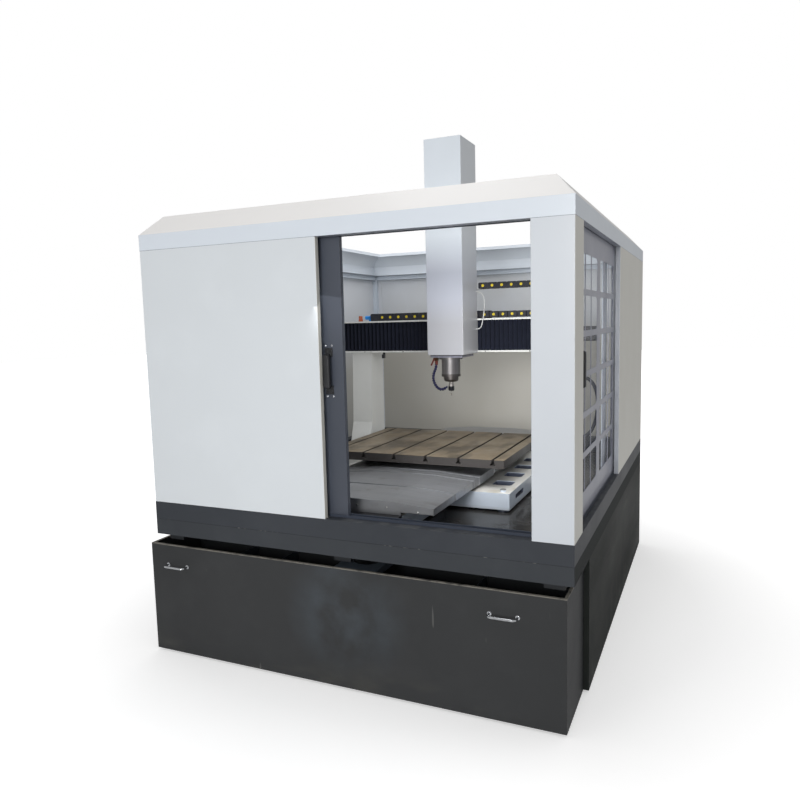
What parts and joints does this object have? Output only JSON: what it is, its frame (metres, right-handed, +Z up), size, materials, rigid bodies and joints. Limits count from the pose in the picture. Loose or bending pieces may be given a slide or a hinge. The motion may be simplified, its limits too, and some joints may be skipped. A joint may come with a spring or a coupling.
{
  "type": "enclosed gantry cnc machining center",
  "caption": "Enclosed gantry milling machine with sliding doors, moving T-slot table, Z column with spindle and a pull-out coolant tank.",
  "frame": {"origin": "middle of the machine's overall box, on the floor", "axes": "+Z up, +X to the right seen from the front door, +Y from the front door to the back"},
  "size_m": [1.974, 2.464, 2.515],
  "materials": {
    "white_paint": "satin powder coat",
    "charcoal_paint": "semi-gloss paint",
    "door_paint": "satin paint",
    "black_steel": "blackened",
    "machine_paint": "painted",
    "ground_steel": "ground",
    "motor_paint": "satin paint",
    "cover_steel": "oiled sheet",
    "bellows_cloth": "coated cloth",
    "chain_plastic": "moulded",
    "fitting_brass": "plain",
    "black_rubber": "ribbed",
    "glazing": "clear",
    "handle_plastic": "moulded",
    "handle_chrome": "polished",
    "table_iron": "machined, oiled",
    "air_tube_plastic": "clear tube",
    "ram_iron": "painted",
    "spindle_steel": "turned",
    "hose_plastic": "moulded",
    "lever_paint": "dipped"
  },
  "bodies": {
    "cabinet": {"base_ring": "charcoal_paint", "chip_tray": "charcoal_paint", "lower_panels": "charcoal_paint", "base_frame": "charcoal_paint", "levelling_feet": "black_steel", "front_left_panel": "white_paint", "front_right_post": "white_paint", "left_wall": "white_paint", "back_wall": "white_paint", "rear_right_panel": "white_paint", "inner_frame": "white_paint", "roof_collar": "white_paint", "door_tracks": "door_paint", "runner_channels": "charcoal_paint", "bed_casting": "machine_paint", "guide_rails": "ground_steel", "y_motor_box": "charcoal_paint", "axis_motors": "motor_paint", "fixed_way_covers": "cover_steel", "gantry_columns": "machine_paint", "gantry_beam": "machine_paint", "bellows_left": "bellows_cloth", "bellows_right": "bellows_cloth", "energy_chain_lower": "chain_plastic", "gantry_fittings": "fitting_brass", "column_conduit": "black_rubber"},
    "front_door": {"front_door_leaf": "door_paint", "front_door_glazing": "glazing", "front_door_handle": "handle_plastic"},
    "side_door": {"side_door_leaf": "door_paint", "side_door_glazing": "glazing", "side_door_handle": "handle_plastic"},
    "tank_drawer": {"tank_shell": "charcoal_paint", "tank_baffles": "charcoal_paint", "coolant_pump": "motor_paint", "tank_handles": "handle_chrome"},
    "table": {"t_slot_table": "table_iron", "table_saddle": "machine_paint", "table_way_covers": "cover_steel"},
    "front_cover_2": {"front_cover_2": "cover_steel"},
    "front_cover_3": {"front_cover_3": "cover_steel"},
    "rear_cover_2": {"rear_cover_2": "cover_steel"},
    "rear_cover_3": {"rear_cover_3": "cover_steel"},
    "x_screw": {"x_screw": "ground_steel"},
    "y_screw": {"y_screw": "ground_steel"},
    "z_screw": {"z_screw": "ground_steel"},
    "carriage": {"x_saddle": "machine_paint", "z_column": "machine_paint", "z_cover": "white_paint", "z_motor": "motor_paint", "air_tube": "air_tube_plastic"},
    "ram": {"z_ram": "ram_iron", "spindle_housing": "spindle_steel", "coolant_valve": "fitting_brass", "coolant_hose": "hose_plastic"},
    "spindle": {"spindle_shaft": "black_steel", "cutting_tool": "ground_steel"},
    "valve_lever": {"valve_lever": "lever_paint"},
    "chain_loop": {"energy_chain_loop": "chain_plastic", "energy_chain_upper": "chain_plastic"}
  },
  "joints": [
    {"name": "front_door_slide", "type": "slide", "parent": "cabinet", "child": "front_door", "axis": [1, 0, 0], "range_m": [0, 0.798]},
    {"name": "side_door_slide", "type": "slide", "parent": "cabinet", "child": "side_door", "axis": [0, 1, 0], "range_m": [0, 1]},
    {"name": "tank_slide", "type": "slide", "parent": "cabinet", "child": "tank_drawer", "axis": [0, -1, 0], "range_m": [0, 0.3]},
    {"name": "y_slide", "type": "slide", "parent": "cabinet", "child": "table", "axis": [0, 1, 0], "range_m": [-0.267, 0.433]},
    {"name": "front_cover_2_slide", "type": "slide", "parent": "cabinet", "child": "front_cover_2", "axis": [0, 1, 0], "range_m": [-0.107, 0.1735]},
    {"name": "front_cover_3_slide", "type": "slide", "parent": "cabinet", "child": "front_cover_3", "axis": [0, 1, 0], "range_m": [-0.186, 0.301]},
    {"name": "rear_cover_2_slide", "type": "slide", "parent": "cabinet", "child": "rear_cover_2", "axis": [0, 1, 0], "range_m": [-0.0895, 0.1445]},
    {"name": "rear_cover_3_slide", "type": "slide", "parent": "cabinet", "child": "rear_cover_3", "axis": [0, 1, 0], "range_m": [-0.1785, 0.289]},
    {"name": "y_screw_turn", "type": "hinge", "parent": "cabinet", "child": "y_screw", "pos_m": [0.01, 0.001, 0.672], "axis": [0, 1, 0], "continuous": true},
    {"name": "x_slide", "type": "slide", "parent": "cabinet", "child": "carriage", "axis": [1, 0, 0], "range_m": [-0.506, 0.394], "deforming": ["bellows_left", "bellows_right"]},
    {"name": "x_screw_turn", "type": "hinge", "parent": "cabinet", "child": "x_screw", "pos_m": [0.01, 0.292, 1.4515], "axis": [1, 0, 0], "continuous": true},
    {"name": "chain_slide", "type": "slide", "parent": "carriage", "child": "chain_loop", "axis": [1, 0, 0], "range_m": [-0.1975, 0.2535], "deforming": ["energy_chain_upper"]},
    {"name": "z_slide", "type": "slide", "parent": "carriage", "child": "ram", "axis": [0, 0, 1], "range_m": [-0.25, 0]},
    {"name": "z_screw_turn", "type": "hinge", "parent": "carriage", "child": "z_screw", "pos_m": [0.0665, 0.085, 1.9], "axis": [0, 0, 1], "continuous": true},
    {"name": "spindle_spin", "type": "hinge", "parent": "ram", "child": "spindle", "pos_m": [0.0665, 0.085, 1.2], "axis": [0, 0, 1], "continuous": true},
    {"name": "valve_turn", "type": "hinge", "parent": "ram", "child": "valve_lever", "pos_m": [-0.02033, 0.05, 1.32831], "axis": [0, 1, 0], "range_deg": [-27, 63]}
  ],
  "couplings": [
    {"joint": "front_cover_2_slide", "follows": "y_slide", "ratio": 0.4},
    {"joint": "front_cover_3_slide", "follows": "y_slide", "ratio": 0.695},
    {"joint": "rear_cover_2_slide", "follows": "y_slide", "ratio": 0.3333},
    {"joint": "rear_cover_3_slide", "follows": "y_slide", "ratio": 0.6667},
    {"joint": "y_screw_turn", "follows": "y_slide", "rad_per_m": 628.32},
    {"joint": "x_screw_turn", "follows": "x_slide", "rad_per_m": 628.32},
    {"joint": "chain_slide", "follows": "x_slide", "ratio": -0.5},
    {"joint": "z_screw_turn", "follows": "z_slide", "rad_per_m": 628.32}
  ]
}
